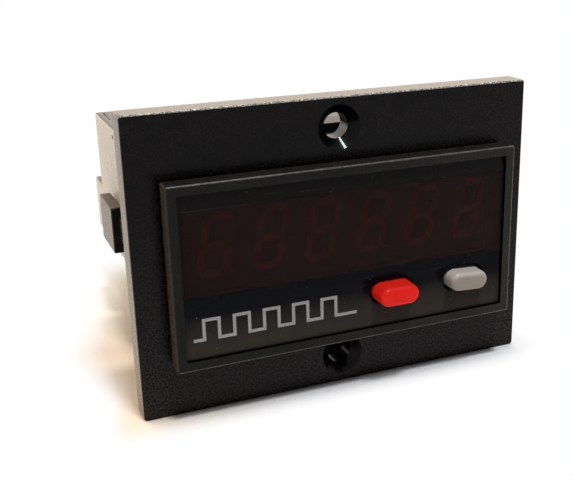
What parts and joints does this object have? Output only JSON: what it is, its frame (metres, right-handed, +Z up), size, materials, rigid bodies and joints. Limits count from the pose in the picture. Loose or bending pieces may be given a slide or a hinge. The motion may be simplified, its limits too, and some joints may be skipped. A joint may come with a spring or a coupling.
{
  "type": "panel counter",
  "caption": "Electronic panel counter with a red display window and two keys, held in a flat screw-fixing bezel plate by a sliding clip, with screw terminals at the back.",
  "frame": {"origin": "centre of the panel cut-out on the counter's axis, in the plane of the bezel plate's back face", "axes": "+X right seen from the front, +Y back through the panel, +Z up"},
  "size_m": [0.056, 0.0655, 0.04],
  "materials": {
    "plate_plastic": "fine grained, matte",
    "housing_plastic": "smooth, satin",
    "seal_rubber": "soft, matte",
    "foil_print": "printed film",
    "window_red": "dark red filter film",
    "display_face": "matte with clear segments",
    "key_red": "satin",
    "key_grey": "satin",
    "switch_black": "moulded",
    "board_green": "solder mask on glass fibre",
    "chip_black": "moulded",
    "can_metal": "drawn can",
    "terminal_plastic": "moulded",
    "terminal_metal": "plated",
    "clip_plastic": "smooth"
  },
  "bodies": {
    "counter": {"bezel_plate": "plate_plastic", "housing": "housing_plastic", "rear_cover": "housing_plastic", "frame_gasket": "seal_rubber", "front_foil": "foil_print", "display_window": "window_red", "left_led_display": "display_face", "right_led_display": "display_face", "display_board": "board_green", "main_board": "board_green", "board_header": "chip_black", "reset_switch": "switch_black", "function_switch": "switch_black", "microcontroller": "chip_black", "memory_chip": "chip_black", "clock_crystal": "can_metal", "smoothing_capacitor": "can_metal", "voltage_regulator": "chip_black", "left_input_coupler": "chip_black", "right_input_coupler": "chip_black", "terminal_block": "terminal_plastic", "wire_clamp_1": "terminal_metal", "terminal_screw_1": "terminal_metal", "wire_clamp_2": "terminal_metal", "terminal_screw_2": "terminal_metal", "wire_clamp_3": "terminal_metal", "terminal_screw_3": "terminal_metal", "wire_clamp_4": "terminal_metal", "terminal_screw_4": "terminal_metal", "wire_clamp_5": "terminal_metal", "terminal_screw_5": "terminal_metal", "wire_clamp_6": "terminal_metal", "terminal_screw_6": "terminal_metal", "wire_clamp_7": "terminal_metal", "terminal_screw_7": "terminal_metal", "wire_clamp_8": "terminal_metal", "terminal_screw_8": "terminal_metal"},
    "reset_key_body": {"reset_key": "key_red", "reset_switch_plunger": "switch_black"},
    "function_key_body": {"function_key": "key_grey", "function_switch_plunger": "switch_black"},
    "clip_body": {"mounting_clip": "clip_plastic"}
  },
  "joints": [
    {"name": "reset_key_press", "type": "slide", "parent": "counter", "child": "reset_key_body", "axis": [0, 1, 0], "range_m": [0, 0.0005], "stiffness_N_per_m": 1500, "springref_m": -0.0001},
    {"name": "function_key_press", "type": "slide", "parent": "counter", "child": "function_key_body", "axis": [0, 1, 0], "range_m": [0, 0.0005], "stiffness_N_per_m": 1500, "springref_m": -0.0001},
    {"name": "clip_slide", "type": "slide", "parent": "counter", "child": "clip_body", "axis": [0, 1, 0], "range_m": [0, 0.03]}
  ]
}
